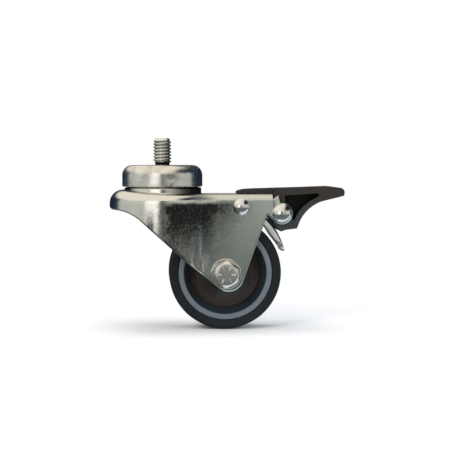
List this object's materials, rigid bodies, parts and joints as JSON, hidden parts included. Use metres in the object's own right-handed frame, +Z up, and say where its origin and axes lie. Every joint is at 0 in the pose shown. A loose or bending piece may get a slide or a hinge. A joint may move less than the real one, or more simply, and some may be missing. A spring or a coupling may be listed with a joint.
{
  "type": "bed caster",
  "caption": "Swivel bed castor: threaded stem, pressed zinc-plated fork with ball head, rubber-tyred wheel and a toggle pedal brake",
  "frame": {"origin": "the point where the swivel axis meets the top face of the head cap, which seats on the furniture", "axes": "+Z up along the threaded stem, +X from the swivel axis towards the wheel and the pedal, +Y across the castor, away from the side with the axle bolt's head"},
  "size_m": [0.1034, 0.0468, 0.0843],
  "materials": {
    "threaded_stem": "zinc-plated turned and rolled steel, bright",
    "head_cap": "zinc-plated pressed steel, glossy with soft mottling",
    "upper_balls": "polished bearing steel with grease",
    "lower_balls": "polished bearing steel with grease",
    "lower_race": "zinc-plated pressed steel",
    "fork": "zinc-plated pressed steel sheet, glossy, dark mottled blotches on the neck",
    "axle_bolt": "zinc-plated forged steel",
    "axle_washers": "zinc-plated steel",
    "axle_nut": "zinc-plated steel",
    "nut_insert": "blue nylon locking ring",
    "axle_sleeve": "drawn steel tube, greased",
    "thrust_washers": "natural nylon",
    "wheel_core": "dark brown moulded polypropylene, satin",
    "rim_rings": "pale grey moulded ring, satin",
    "tyre": "near-black thermoplastic rubber, matt",
    "brake_pedal": "dark brown-grey moulded nylon, satin",
    "pedal_rivet": "bright plated steel with domed heads",
    "shoe_rivet": "bright plated steel with domed heads",
    "brake_shoe": "bright spring steel strip"
  },
  "bodies": {
    "head": {"threaded_stem": "threaded_stem", "head_cap": "head_cap", "upper_balls": "upper_balls", "lower_balls": "lower_balls", "lower_race": "lower_race"},
    "fork": {"fork": "fork", "axle_bolt": "axle_bolt", "axle_washers": "axle_washers", "axle_nut": "axle_nut", "nut_insert": "nut_insert", "axle_sleeve": "axle_sleeve", "thrust_washers": "thrust_washers", "pedal_rivet": "pedal_rivet", "shoe_rivet": "shoe_rivet"},
    "wheel": {"wheel_core": "wheel_core", "rim_rings": "rim_rings", "tyre": "tyre"},
    "pedal": {"brake_pedal": "brake_pedal"},
    "shoe": {"brake_shoe": "brake_shoe"}
  },
  "joints": [
    {"name": "swivel", "type": "hinge", "parent": "head", "child": "fork", "pos_m": [0, 0, 0], "axis": [0, 0, 1], "continuous": true},
    {"name": "wheel_spin", "type": "hinge", "parent": "fork", "child": "wheel", "pos_m": [0.0275, 0, -0.0475], "axis": [0, 1, 0], "continuous": true},
    {"name": "pedal_tilt", "type": "hinge", "parent": "fork", "child": "pedal", "pos_m": [0.0521, 0, -0.0213], "axis": [0, 1, 0], "range_deg": [0, 21]},
    {"name": "shoe_press", "type": "hinge", "parent": "fork", "child": "shoe", "pos_m": [0.0342, 0, -0.0183], "axis": [0, 1, 0], "range_deg": [0, 3.9]}
  ],
  "couplings": [
    {"joint": "shoe_press", "follows": "pedal_tilt", "ratio": 0.185}
  ]
}
